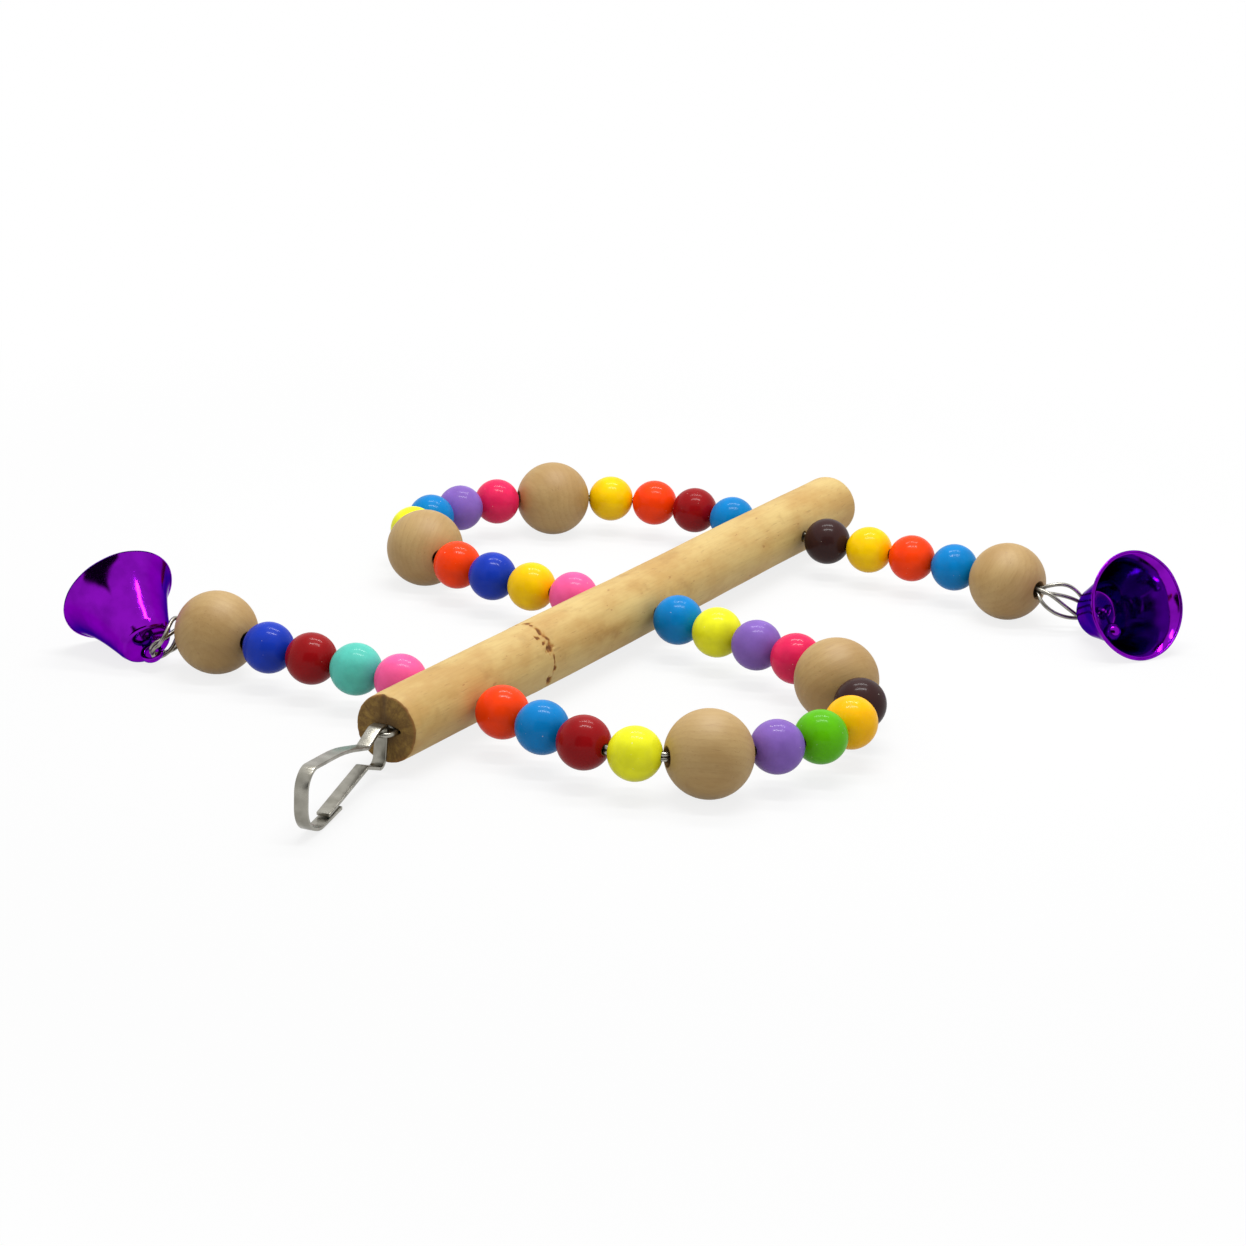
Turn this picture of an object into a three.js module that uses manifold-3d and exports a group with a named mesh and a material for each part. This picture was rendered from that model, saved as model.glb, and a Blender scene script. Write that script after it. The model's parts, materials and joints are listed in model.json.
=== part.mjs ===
// Hanging bird toy: a wooden dowel perch threaded three times by a doubled steel wire that
// carries painted and plain wooden beads in an S of two loops. A small bell hangs at each end
// of the wire, and a sheet-steel snap hook hangs from a screw eye in the sawn end of the dowel.
//
// Millimetres, +Z up. The dowel lies along +Y with its hook end towards -Y, and the toy lies on
// its plain wooden beads, its bells and the nose of its hook. The origin is the middle of the
// bounding box's floor.

import * as THREE from 'three';
import { mergeVertices } from 'three/addons/utils/BufferGeometryUtils.js';
import Module from 'manifold-3d';

const wasm = await Module();
wasm.setup();

// Fits
const runningGap = 0.3; // between pieces that lie against each other
const crossingGap = 0.75; // along the wire, between a bead and the dowel

// Dowel
const dowelRadius = 8;
const hookEndRun = 26; // sawn face to the first wire hole
const farEndRun = 33; // last wire hole to the rounded end
const farEndRounding = 4.5;
const sawnEdge = 0.5; // small bevel round the sawn face
const dowelSides = 24;

// Doubled wire: its two strands run one above the other
const wireRadius = 0.5;
const wireSides = 6;
const strandPitch = 1.4;
const legPitch = 1.5; // across the bore, between a strand and its own end tucked back in
const wireTuck = 6; // length of each wire end that goes back into its last bead
const bendRadius = 2; // of the wire round a bell's lug

// Beads
const paintedRadius = 5.9;
const plainRadius = 9.7;
const plainBore = 2.1;
const wireHeight = plainRadius; // the plain beads stand on the floor

// Screw eye, driven in until the back of its ring is sunk in the wood
const eyeWire = 0.6;
const eyeRing = 2.9; // radius at the middle of its wire
const eyeProud = 3.9; // sawn face to the middle of the ring's outermost wire
const shankRadius = 1.1;
const shankLength = 14;
const shankPoint = 3;

// Snap hook, one bent strip of spring steel. Its bends are measured from the outermost wire of
// the screw eye, along the hook and up.
const stripWidth = 3;
const stripThickness = 0.8;
const hookTurn = 11.2; // degrees off the dowel's line
const loopBack = 2.3; // of the loop in the screw eye
const loopTop = 1.9;
const loopBottom = 8;
const loopFront = 1.8;
const loopRadius = 1.8;
const loopFrontRadius = 3;
const curlIn = 0.9; // the curl starts this much inside the loop's back
const curlRadius = 1.4;
const split = 3; // from the curl's corner to the joint between hook and gate
const neckReach = 7.8;
const neckDrop = 0.3;
const foldDrop = 4.7; // the gate's side of the neck
const foldRadius = 0.9;
const backReach = 20; // middle of the long back
const backTop = 2.9;
const backRadius = 60;
const noseReach = 38.6;
const noseTop = 4.5;
const noseRadius = 4.2;
const chinBack = 0.3; // the chin stands this much behind the nose
const chinDrop = 7.6;
const chinRadius = 5.5;
const gateEnd = 27.6;
const gateDrop = 8.7; // at its free end
const lipRadius = 0.8;
const lipStart = 31.8;
const lipEnd = 21;
const lipSlope = 0.1; // fall of the lip for each millimetre back from the gate's end

// Bells
const bellMouth = 13.7;
const bellCrown = 6.1;
const bellHeight = 18;
const bellFlare = 1.1; // how far the mouth turns out of the cone's line
const bellWall = 0.6;
const crownRounding = 0.9;
const bellSides = 24;
const lugHole = 1.6;
const lugWall = 1.1;
const lugThickness = 0.9;
const clapperEyeHole = 1.1;
const clapperEyeWall = 0.8;
const clapperWire = 0.4;
const clapperRing = 1.8; // radius at the middle of its wire
const clapperBall = 2.2;
const clapperReach = 9.5; // from the bar that it hangs on to the middle of its ball

// How the toy lies: degrees that the wire turns at each meeting of two beads, outwards from the
// dowel, and where each bell has come to rest beside its last bead.
const firstCrossing = -6.7; // degrees between the first hole and +X
const leftTailTurns = [6, 3, -1, -3, -4];
const nearLoopTurns = [-3, 6, 26, 30, 11, 14, 21, 25, 27, 18, 6, -2, 3, 12];
const farLoopTurns = [5, 4, 8, 18, 34, 24, 12, 18, 16, 14, 19, 14, 3, -3];
const rightTailTurns = [4, 1, 0, -4, -9];
const leftBellRest = { out: 5.5, aside: -7.6, azimuth: 153.4, inside: -1 };
const rightBellRest = { out: 13.5, aside: 4.7, azimuth: -31.8, inside: 1 };

const paints = {
  darkBlue: 0x1a3cc0, darkRed: 0x8c0f14, teal: 0x4bbeaa, pink: 0xff5f9e, orange: 0xff4a12,
  blue: 0x0d86cc, lemon: 0xeff03a, purple: 0x8a66c4, green: 0x5fc814, amber: 0xffb80a,
  brown: 0x3a2020, crimson: 0xe02a5c, yellow: 0xffd000, plain: 0xcfa978,
};
const leftTail = ['pink', 'teal', 'darkRed', 'darkBlue', 'plain'];
const nearLoop = ['orange', 'blue', 'darkRed', 'lemon', 'plain', 'purple', 'green', 'amber',
  'brown', 'plain', 'crimson', 'purple', 'lemon', 'blue'];
const farLoop = ['pink', 'yellow', 'darkBlue', 'orange', 'plain', 'lemon', 'blue', 'purple',
  'crimson', 'plain', 'yellow', 'orange', 'darkRed', 'blue'];
const rightTail = ['brown', 'yellow', 'orange', 'blue', 'plain'];

const degrees = Math.PI / 180;
const fullTurn = 360;
const up = new THREE.Vector3(0, 0, 1);
const point = (x, y, z = 0) => new THREE.Vector3(x, y, z);
const bearing = (angle) => point(Math.cos(angle * degrees), Math.sin(angle * degrees));
const along = (from, direction, distance) => from.clone().addScaledVector(direction, distance);

// Value between low and high at which a rising function passes zero
function rootOf(rising, low, high) {
  for (let step = 0; step < 40; step += 1) {
    const middle = (low + high) / 2;
    if (rising(middle) > 0) high = middle;
    else low = middle;
  }
  return (low + high) / 2;
}

// Closed surface with its corners joined, slivers dropped and its outside facing out
function closed(geometry) {
  geometry.deleteAttribute('normal');
  geometry.deleteAttribute('uv');
  const merged = mergeVertices(geometry, 1e-4);
  const place = merged.attributes.position;
  const corner = [0, 1, 2].map(() => point(0, 0));
  const kept = [];
  let volume = 0;
  for (let i = 0; i < merged.index.count; i += 3) {
    const ids = [0, 1, 2].map((k) => merged.index.getX(i + k));
    if (new Set(ids).size < 3) continue;
    ids.forEach((id, k) => corner[k].fromBufferAttribute(place, id));
    volume += corner[0].dot(corner[1].clone().cross(corner[2]));
    kept.push(ids);
  }
  merged.setIndex(kept.flatMap((ids) => (volume < 0 ? ids.reverse() : ids)));
  return merged;
}

function toSolid(geometry) {
  const skin = closed(geometry);
  const vertProperties = new Float32Array(skin.attributes.position.array);
  const triVerts = new Uint32Array(skin.index.array);
  return new wasm.Manifold(new wasm.Mesh({ numProp: 3, vertProperties, triVerts }));
}

function toGeometry(solid) {
  const { vertProperties, triVerts } = solid.getMesh();
  const geometry = new THREE.BufferGeometry();
  geometry.setAttribute('position', new THREE.BufferAttribute(vertProperties, 3));
  geometry.setIndex(new THREE.BufferAttribute(triVerts, 1));
  return geometry;
}

// Turned solid: its profile is a list of [radius, station] and its axis is the local Y
function turned(profile, sides) {
  const outline = profile.map(([radius, station]) => new THREE.Vector2(radius, station));
  return new THREE.LatheGeometry(outline, sides);
}

// Points on a circle of the (radius, station) plane, from one angle to another in degrees
function sweep(centre, radius, from, to, steps) {
  return Array.from({ length: steps + 1 }, (unused, step) => {
    const angle = (from + ((to - from) * step) / steps) * degrees;
    return [centre[0] + radius * Math.cos(angle), centre[1] + radius * Math.sin(angle)];
  });
}

// Corners of a regular polygon in the same plane
function polygon(centre, radius, sides) {
  return sweep(centre, radius, 0, fullTurn - fullTurn / sides, sides - 1);
}

// Open line through corners [x, y, bend radius], each bend drawn in three chords
function bent(corners) {
  const line = [];
  corners.forEach(([x, y, radius], i) => {
    const here = new THREE.Vector2(x, y);
    if (i === 0 || i === corners.length - 1) {
      line.push(here);
      return;
    }
    const back = new THREE.Vector2(...corners[i - 1]).sub(here).normalize();
    const on = new THREE.Vector2(...corners[i + 1]).sub(here).normalize();
    const halfAngle = Math.acos(back.dot(on)) / 2;
    const middle = back.clone().add(on).normalize();
    const centre = here.clone().addScaledVector(middle, radius / Math.sin(halfAngle));
    const first = back.multiplyScalar(radius / Math.tan(halfAngle)).add(here).sub(centre);
    const last = on.multiplyScalar(radius / Math.tan(halfAngle)).add(here).sub(centre);
    const turn = Math.atan2(first.cross(last), first.dot(last));
    for (let step = 0; step <= 3; step += 1) {
      line.push(first.clone().rotateAround(new THREE.Vector2(), (turn * step) / 3).add(centre));
    }
  });
  return line;
}

// Strip of spring steel along a line of its (x, y) plane, its width along z
function strip(line) {
  const sides = [1, -1].map((side) => line.map((here, i) => {
    const back = line[Math.max(i - 1, 0)];
    const on = line[Math.min(i + 1, line.length - 1)];
    const run = on.clone().sub(back).normalize();
    const before = here.clone().sub(back).normalize();
    const spread = i > 0 && i < line.length - 1 ? Math.abs(run.dot(before)) : 1;
    const reach = (side * stripThickness) / 2 / spread;
    return here.clone().add(new THREE.Vector2(-run.y, run.x).multiplyScalar(reach));
  }));
  const outline = new THREE.Shape([...sides[0], ...sides[1].reverse()]);
  const solid = new THREE.ExtrudeGeometry(outline, { depth: stripWidth, bevelEnabled: false });
  return solid.translate(0, 0, -stripWidth / 2);
}

// Round wire through given points
class Route extends THREE.Curve {
  constructor(points) {
    super();
    this.points = points;
  }

  getPointAt(share) {
    return this.points[Math.round(share * (this.points.length - 1))].clone();
  }

  getTangentAt(share) {
    const i = Math.round(share * (this.points.length - 1));
    const back = this.points[Math.max(i - 1, 0)];
    const on = this.points[Math.min(i + 1, this.points.length - 1)];
    const here = this.points[i];
    const arrive = here.clone().sub(back).normalize();
    return on.clone().sub(here).normalize().add(arrive).normalize();
  }
}

function wire(points, radius) {
  const section = new THREE.Shape(polygon([0, 0], radius, wireSides).map(([x, y]) => (
    new THREE.Vector2(x, y))));
  const extrudePath = new Route(points);
  return new THREE.ExtrudeGeometry(section, { steps: points.length - 1, extrudePath });
}

const group = new THREE.Group();

// Adds a piece whose local origin and axes are placed by a matrix
function add(name, geometry, [color, roughness, metalness], placing = new THREE.Matrix4()) {
  const material = new THREE.MeshStandardMaterial({ color, roughness, metalness });
  const mesh = new THREE.Mesh(closed(geometry), material);
  mesh.name = name;
  mesh.applyMatrix4(placing);
  group.add(mesh);
}

function frameOf(x, y, origin) {
  return new THREE.Matrix4().makeBasis(x, y, x.clone().cross(y)).setPosition(origin);
}

const wood = [0xd8bd8c, 0.6, 0];
const nickel = [0xb9bcc0, 0.22, 1];
const steel = [0xa9a79f, 0.35, 1];
const purpleMetal = [0x7a2fb0, 0.15, 1];
const gloss = (name) => [paints[name], 0.22, 0];

// Lay of the string: each bead sits on its own straight of wire, and the wire bends between them
const dowelHalf = dowelRadius + crossingGap - runningGap / 2;
const halfRun = (name) => (name === 'plain' ? plainRadius : paintedRadius) + runningGap / 2;

function lay(halves, turns, start, heading) {
  const stretch = turns.map((turn, i) => {
    const [a, b] = [halves[i], halves[i + 1]];
    return (a + b) / Math.sqrt(a * a + b * b + 2 * a * b * Math.cos(turn * degrees));
  });
  const rods = [];
  let centre = start;
  let angle = heading;
  turns.forEach((turn, i) => {
    const corner = along(centre, bearing(angle), stretch[i] * halves[i]);
    angle += turn;
    centre = along(corner, bearing(angle), stretch[i] * halves[i + 1]);
    rods.push({ corner, centre, angle });
  });
  return rods;
}

function layLoop(names, turns, side, start, heading) {
  const halves = [dowelHalf, ...names.map(halfRun), dowelHalf];
  const rodsFor = (first) => lay(halves, [first, ...turns].map((t) => side * t), start, heading);
  const first = rootOf((turn) => -side * rodsFor(turn).at(-1).centre.x, -40, 40);
  return rodsFor(first);
}

function layTail(names, turns, start, heading) {
  return lay([dowelHalf, ...names.map(halfRun)], turns, start, heading);
}

const holeOne = point(0, hookEndRun, wireHeight);
const nearRods = layLoop(nearLoop, nearLoopTurns, 1, holeOne, firstCrossing);
const holeTwo = nearRods.at(-1);
const farRods = layLoop(farLoop, farLoopTurns, -1, holeTwo.centre, holeTwo.angle);
const holeThree = farRods.at(-1);
const leftRods = layTail(leftTail, leftTailTurns, holeOne, firstCrossing + 180);
const rightRods = layTail(rightTail, rightTailTurns, holeThree.centre, holeThree.angle);
const crossings = [
  { centre: holeOne, angle: firstCrossing },
  holeTwo,
  holeThree,
];
const dowelLength = holeThree.centre.y + farEndRun;

// Dowel, drilled across for the wire and along its axis for the screw eye
const strandReach = strandPitch / 2 + wireRadius + runningGap;
const holeSides = 12;
const holeRadius = strandReach / Math.cos(Math.PI / holeSides);
const ringOuter = eyeRing + eyeWire;
const ringSunk = ringOuter + eyeRing - eyeProud; // back of the ring inside the wood
const shankStart = 2 * eyeRing - eyeProud; // middle of the ring's sunk side
const shankEnd = shankStart + shankLength;

function dowel() {
  const flat = dowelRadius - farEndRounding;
  const roundFrom = dowelLength - farEndRounding;
  let rod = toSolid(turned([
    [0, 0],
    [dowelRadius - sawnEdge, 0],
    [dowelRadius, sawnEdge],
    ...sweep([flat, roundFrom], farEndRounding, 0, 90, 5),
    [0, dowelLength],
  ], dowelSides));
  const round = Math.cos(Math.PI / holeSides);
  const recess = (ringOuter + runningGap) / round;
  const pilot = (shankRadius + runningGap) / round;
  rod = rod.subtract(toSolid(turned([
    [0, -1],
    [recess, -1],
    [recess, ringSunk + runningGap],
    [pilot, ringSunk + runningGap],
    [pilot, shankEnd - shankPoint],
    [0, shankEnd + runningGap],
  ], holeSides)));
  for (const { centre, angle } of crossings) {
    const drill = turned([
      [0, -dowelRadius - 1],
      [holeRadius, -dowelRadius - 1],
      [holeRadius, dowelRadius + 1],
      [0, dowelRadius + 1],
    ], holeSides);
    drill.rotateZ((angle - 90) * degrees).translate(0, centre.y, 0);
    rod = rod.subtract(toSolid(drill));
  }
  return toGeometry(rod);
}

add('dowel_perch', dowel(), wood, new THREE.Matrix4().setPosition(0, 0, wireHeight));

// Screw eye: a level ring on a pointed shank
const ring = new THREE.TorusGeometry(eyeRing, eyeWire, 8, 20);
const shank = turned([
  [0, eyeRing - eyeWire / 2],
  [shankRadius, eyeRing - eyeWire / 2],
  [shankRadius, eyeRing + shankLength - shankPoint],
  [0, eyeRing + shankLength],
], 10);
const ringMiddle = point(0, eyeRing - eyeProud, wireHeight);
const ringPlace = new THREE.Matrix4().setPosition(ringMiddle);
add('screw_eye', toGeometry(toSolid(ring).add(toSolid(shank))), nickel, ringPlace);

// Snap hook in its own frame: x along it, y up, with the screw eye's outermost wire at its origin
const fold = [neckReach, -foldDrop];
const curl = [curlIn - loopBack, -loopBottom];
const curlLine = new THREE.Vector2(...fold).sub(new THREE.Vector2(...curl)).normalize();
const curlAt = (distance) => [curl[0] + curlLine.x * distance, curl[1] + curlLine.y * distance];
const lipAt = (x) => {
  const seat = -gateDrop - stripThickness - runningGap;
  return [x, seat - (x - gateEnd) * lipSlope];
};
const hookLine = bent([
  [...curlAt(split - runningGap / 2), 0],
  [...curl, curlRadius],
  [-loopBack, loopTop, loopRadius],
  [loopFront, loopTop, loopFrontRadius],
  [neckReach, -neckDrop, foldRadius],
  [backReach, backTop, backRadius],
  [noseReach, noseTop, noseRadius],
  [noseReach - chinBack, -chinDrop, chinRadius],
  [...lipAt(lipStart), lipRadius],
  [...lipAt(lipEnd), 0],
]);
const gateLine = bent([
  [...curlAt(split + runningGap / 2), 0],
  [...fold, foldRadius],
  [gateEnd, -gateDrop, 0],
]);
const heightAt = (tilt) => {
  const lowest = Math.min(...hookLine.map(({ x, y }) => x * Math.sin(tilt) + y * Math.cos(tilt)));
  return wireHeight + lowest - stripThickness / 2;
};
const hookTilt = rootOf(heightAt, -0.5, 0.5);
const hookAhead = bearing(hookTurn - 90);
const hookAlong = hookAhead.clone().multiplyScalar(Math.cos(hookTilt));
hookAlong.addScaledVector(up, Math.sin(hookTilt));
const hookUp = hookAhead.clone().multiplyScalar(-Math.sin(hookTilt));
hookUp.addScaledVector(up, Math.cos(hookTilt));
const hookOrigin = along(ringMiddle, hookAhead, eyeRing);
add('snap_hook_body', strip(hookLine), nickel, frameOf(hookAlong, hookUp, hookOrigin));

const [pivotX, pivotY] = curlAt(split);
const gatePivot = new THREE.Vector2(-curlLine.y, curlLine.x)
  .multiplyScalar(stripThickness / 2)
  .add(new THREE.Vector2(pivotX, pivotY));
const gateOrigin = along(hookOrigin, hookAlong, gatePivot.x).addScaledVector(hookUp, gatePivot.y);
const gateShape = strip(gateLine).translate(-gatePivot.x, -gatePivot.y, 0);
add('snap_hook_gate', gateShape, nickel, frameOf(hookAlong, hookUp, gateOrigin));

// Beads, each turned about its own bore
const paintedBore = strandReach / Math.cos(Math.PI / holeSides);

function bead(radius, bore, sides, steps) {
  const mouth = Math.acos(bore / radius) / degrees;
  const outside = sweep([0, 0], radius, -mouth, mouth, steps);
  return turned([...outside, outside[0]], sides);
}

const beadRods = [
  ...leftRods.map((rod, i) => [leftTail[i], rod]).reverse(),
  ...nearRods.slice(0, -1).map((rod, i) => [nearLoop[i], rod]),
  ...farRods.slice(0, -1).map((rod, i) => [farLoop[i], rod]),
  ...rightRods.map((rod, i) => [rightTail[i], rod]),
];
beadRods.forEach(([name, { centre, angle }], i) => {
  const bore = bearing(angle);
  const place = frameOf(bore.clone().cross(up), bore, centre);
  const number = String(i + 1).padStart(2, '0');
  if (name === 'plain') {
    const shape = bead(plainRadius, plainBore, 14, 8);
    add(`bead_${number}_plain_wood`, shape, [paints.plain, 0.65, 0], place);
  } else {
    add(`bead_${number}_${name}`, bead(paintedRadius, paintedBore, 12, 6), gloss(name), place);
  }
});

// Bells: each lies on its rim and on the edge of its crown
const coneAngle = Math.atan2(bellMouth - bellFlare - bellCrown, bellHeight);
const outerAt = (station) => {
  const share = station / bellHeight;
  return bellCrown + Math.tan(coneAngle) * station + bellFlare * share ** 12;
};
const innerAt = (station) => outerAt(station) - bellWall / Math.cos(coneAngle);
const rimRounding = bellWall / 2;
const crownCentre = [bellCrown - crownRounding, crownRounding];
const rimCentre = [bellMouth - rimRounding, bellHeight - rimRounding];
const restRise = rimCentre[0] - crownCentre[0];
const restRun = rimCentre[1] - crownCentre[1];
const bellTilt = Math.atan2(restRise, restRun)
  + Math.asin((rimRounding - crownRounding) / Math.hypot(restRise, restRun));
const crownHeight = crownRounding + crownCentre[0] * Math.cos(bellTilt)
  - crownCentre[1] * Math.sin(bellTilt);
const neckHalf = 0.9;
const crownHole = Math.hypot(neckHalf, lugThickness / 2) + runningGap;
const lugOuter = lugHole + lugWall;
const crownStation = lugOuter + runningGap; // from the lug's middle
const clapperEyeOuter = clapperEyeHole + clapperEyeWall;
const clapperEyeStation = crownStation + bellWall + runningGap + clapperEyeOuter;
const barStation = clapperEyeStation + clapperEyeHole + clapperEyeWall / 2;
const ringBehindBar = Math.hypot(clapperEyeWall, lugThickness) / 2 + runningGap + clapperWire;

function bell() {
  const outside = [0.12, 0.45, 0.72, 0.86, 0.94].map((share) => share * bellHeight);
  const wall = outside.map((station) => [outerAt(station), station]);
  const inside = outside.toReversed().map((station) => [innerAt(station), station]);
  return turned([
    [crownHole, 0],
    ...sweep(crownCentre, crownRounding, -90, -20, 2),
    ...wall,
    ...sweep(rimCentre, rimRounding, 0, 180, 3),
    ...inside,
    [innerAt(bellWall) - bellWall, bellWall],
    [crownHole, bellWall],
    [crownHole, 0],
  ], bellSides).translate(0, crownStation, 0);
}

// Flat figure of eight with its neck through the crown
function hanger() {
  const neckTurn = (radius) => Math.asin(neckHalf / radius) / degrees;
  const lugTurn = neckTurn(lugOuter);
  const eyeTurn = neckTurn(clapperEyeOuter);
  const eyeMiddle = [0, clapperEyeStation];
  const flat = ([x, y]) => new THREE.Vector2(x, y);
  const outline = new THREE.Shape([
    ...sweep([0, 0], lugOuter, 90 + lugTurn, 90 + fullTurn - lugTurn, 14),
    ...sweep(eyeMiddle, clapperEyeOuter, eyeTurn - 90, fullTurn - 90 - eyeTurn, 12),
  ].map(flat));
  const round = Math.cos(Math.PI / holeSides);
  const circle = (centre, radius) => (
    new THREE.Path(polygon(centre, radius / round, holeSides).map(flat)));
  outline.holes.push(circle([0, 0], lugHole), circle(eyeMiddle, clapperEyeHole));
  const plate = new THREE.ExtrudeGeometry(outline, { depth: lugThickness, bevelEnabled: false });
  return plate.translate(0, 0, -lugThickness / 2);
}

// Wire ring, stem and ball, hung on the outer bar of the hanger's inside eye
function clapper() {
  const ringCentre = clapperRing - ringBehindBar;
  const loop = new THREE.TorusGeometry(clapperRing, clapperWire, 6, 14);
  loop.translate(0, ringCentre, 0);
  const stemStart = ringCentre + clapperRing;
  const stem = turned([
    [0, stemStart],
    [clapperWire, stemStart],
    [clapperWire, clapperReach],
    [0, clapperReach],
  ], 8);
  const ball = turned(sweep([0, clapperReach], clapperBall, -90, 90, 6), 10);
  return toGeometry(toSolid(loop).add(toSolid(stem)).add(toSolid(ball)));
}

const clapperDrop = rootOf((drop) => {
  const station = barStation - crownStation + clapperReach * Math.cos(drop);
  const wallAt = innerAt(station) * Math.cos(Math.PI / bellSides);
  const room = (wallAt - clapperReach * Math.sin(drop)) * Math.cos(coneAngle);
  return clapperBall + runningGap - room;
}, 0, Math.PI / 2);

// Where a bell hangs, and the frame of its lug: outwards from the crown, towards the bead, and
// along the lug's hole
function bellPlace(rods, rest, side) {
  const { centre, angle } = rods.at(-1);
  const out = bearing(angle);
  const boreHalf = Math.sqrt(plainRadius ** 2 - plainBore ** 2);
  const exit = along(centre, out, boreHalf + runningGap);
  const axis = bearing(rest.azimuth).multiplyScalar(Math.cos(bellTilt));
  axis.addScaledVector(up, Math.sin(bellTilt));
  const crown = point(exit.x + side * rest.out, exit.y + rest.aside, crownHeight);
  const lug = along(crown, axis, -crownStation);
  const toBead = exit.clone().sub(lug).addScaledVector(axis, -exit.clone().sub(lug).dot(axis));
  toBead.normalize();
  const hole = toBead.clone().cross(axis);
  return { centre, out, exit, axis, lug, toBead, hole, inside: rest.inside };
}

const bells = {
  left: bellPlace(leftRods, leftBellRest, -1),
  right: bellPlace(rightRods, rightBellRest, 1),
};
for (const [side, { axis, lug, hole }] of Object.entries(bells)) {
  const place = frameOf(axis.clone().cross(hole), axis, lug);
  add(`${side}_bell`, bell(), purpleMetal, place);
  add(`${side}_bell_hanger`, hanger(), purpleMetal, place);
  const low = hole.clone().multiplyScalar(-Math.sign(hole.z));
  const hang = axis.clone().multiplyScalar(Math.cos(clapperDrop));
  hang.addScaledVector(low, Math.sin(clapperDrop));
  const hinge = hang.clone().cross(axis).normalize();
  const bar = along(lug, axis, barStation);
  add(`${side}_bell_clapper`, clapper(), purpleMetal, frameOf(hang.clone().cross(hinge), hang, bar));
}

// Wire: each strand runs the whole string, goes round a lug at both ends and is tucked back into
// its last bead beside itself
const bow = 3.5; // how far the outermost two of the four legs at a bell spread
const lead = 1.2; // how much further out the upper strand runs before it turns to the lug
const legSteps = 8;

function wireEnd({ centre, out, exit, axis, lug, toBead, hole, inside }, level) {
  const across = up.clone().cross(out);
  const spread = hole.clone().multiplyScalar(Math.sign(hole.z));
  const beginning = (side) => along(along(exit, across, (side * legPitch) / 2), up,
    (level * strandPitch) / 2);
  const aside = (inside * level * strandPitch) / 2;
  const round = along(along(lug, axis, aside), toBead, bendRadius);
  const bendAt = (angle) => along(along(round, toBead, -bendRadius * Math.cos(angle)), spread,
    bendRadius * Math.sin(angle));
  const leg = (side) => {
    const start = beginning(side);
    const finish = bendAt((side * Math.PI) / 2);
    const lift = side === level ? level * bow : 0;
    const run = start.distanceTo(finish);
    const curve = new THREE.CubicBezierCurve3(
      start,
      along(along(start, out, run * 0.28 + level * lead), spread, lift * 0.8),
      along(along(finish, toBead, run * 0.5), spread, lift),
      finish,
    );
    return curve.getPoints(legSteps);
  };
  const shifted = along(centre, up, (level * strandPitch) / 2);
  const inBead = along(along(shifted, across, -legPitch / 2), out, 2);
  const tucked = along(beginning(1), out, -wireTuck - runningGap);
  const bend = [-60, -30, 0, 30, 60].map((angle) => bendAt(angle * degrees));
  return [inBead, ...leg(-1), ...bend, ...leg(1).reverse(), tucked];
}

const cornersOf = (rods) => rods.map(({ corner }) => corner);
const middle = [
  ...cornersOf(leftRods).reverse(),
  ...cornersOf(nearRods),
  ...cornersOf(farRods),
  ...cornersOf(rightRods),
];
for (const [name, level] of [['wire_upper_strand', 1], ['wire_lower_strand', -1]]) {
  const route = [
    ...wireEnd(bells.left, level).reverse(),
    ...middle.map((corner) => along(corner, up, (level * strandPitch) / 2)),
    ...wireEnd(bells.right, level),
  ];
  add(name, wire(route, wireRadius), steel);
}

// Floor under the toy and the middle of its box at the origin
const box = new THREE.Box3().setFromObject(group, true);
const boxMiddle = box.getCenter(point(0, 0));
group.children.forEach((piece) => {
  piece.position.sub(point(boxMiddle.x, boxMiddle.y, box.min.z));
});

export default group;
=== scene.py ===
import json
import math

import bmesh
import bpy
import numpy as np
from mathutils import Matrix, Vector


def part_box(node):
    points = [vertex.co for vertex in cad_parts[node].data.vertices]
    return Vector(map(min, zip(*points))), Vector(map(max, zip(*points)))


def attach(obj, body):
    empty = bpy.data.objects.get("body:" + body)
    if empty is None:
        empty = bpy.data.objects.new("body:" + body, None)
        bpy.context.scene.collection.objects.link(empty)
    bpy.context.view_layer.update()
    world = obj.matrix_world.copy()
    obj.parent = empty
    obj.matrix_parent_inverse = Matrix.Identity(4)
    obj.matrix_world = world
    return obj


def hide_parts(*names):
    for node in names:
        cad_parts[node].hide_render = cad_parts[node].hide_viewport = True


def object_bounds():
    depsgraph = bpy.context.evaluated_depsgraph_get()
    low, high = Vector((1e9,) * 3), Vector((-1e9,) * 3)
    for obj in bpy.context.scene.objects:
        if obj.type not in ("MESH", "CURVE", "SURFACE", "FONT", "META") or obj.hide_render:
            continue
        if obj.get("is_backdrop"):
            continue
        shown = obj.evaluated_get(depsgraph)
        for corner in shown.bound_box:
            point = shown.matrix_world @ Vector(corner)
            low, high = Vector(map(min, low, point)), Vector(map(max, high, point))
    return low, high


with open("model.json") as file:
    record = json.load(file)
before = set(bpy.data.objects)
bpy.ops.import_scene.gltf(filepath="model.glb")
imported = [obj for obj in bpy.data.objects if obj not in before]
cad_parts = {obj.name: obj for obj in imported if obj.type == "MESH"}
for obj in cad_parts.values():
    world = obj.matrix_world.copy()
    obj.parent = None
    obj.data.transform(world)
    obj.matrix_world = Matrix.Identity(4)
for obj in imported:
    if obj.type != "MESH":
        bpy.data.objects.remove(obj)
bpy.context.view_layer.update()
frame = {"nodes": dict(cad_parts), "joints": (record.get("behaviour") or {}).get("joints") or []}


# Camera: a long lens about 0.7 m from the toy, looking down on it at 19 degrees from the side
# of its hook, and held a little out of level.
def new_object(name, data):
    """An object with this data, in the scene."""
    made = bpy.data.objects.new(name, data)
    bpy.context.scene.collection.objects.link(made)
    return made


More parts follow.
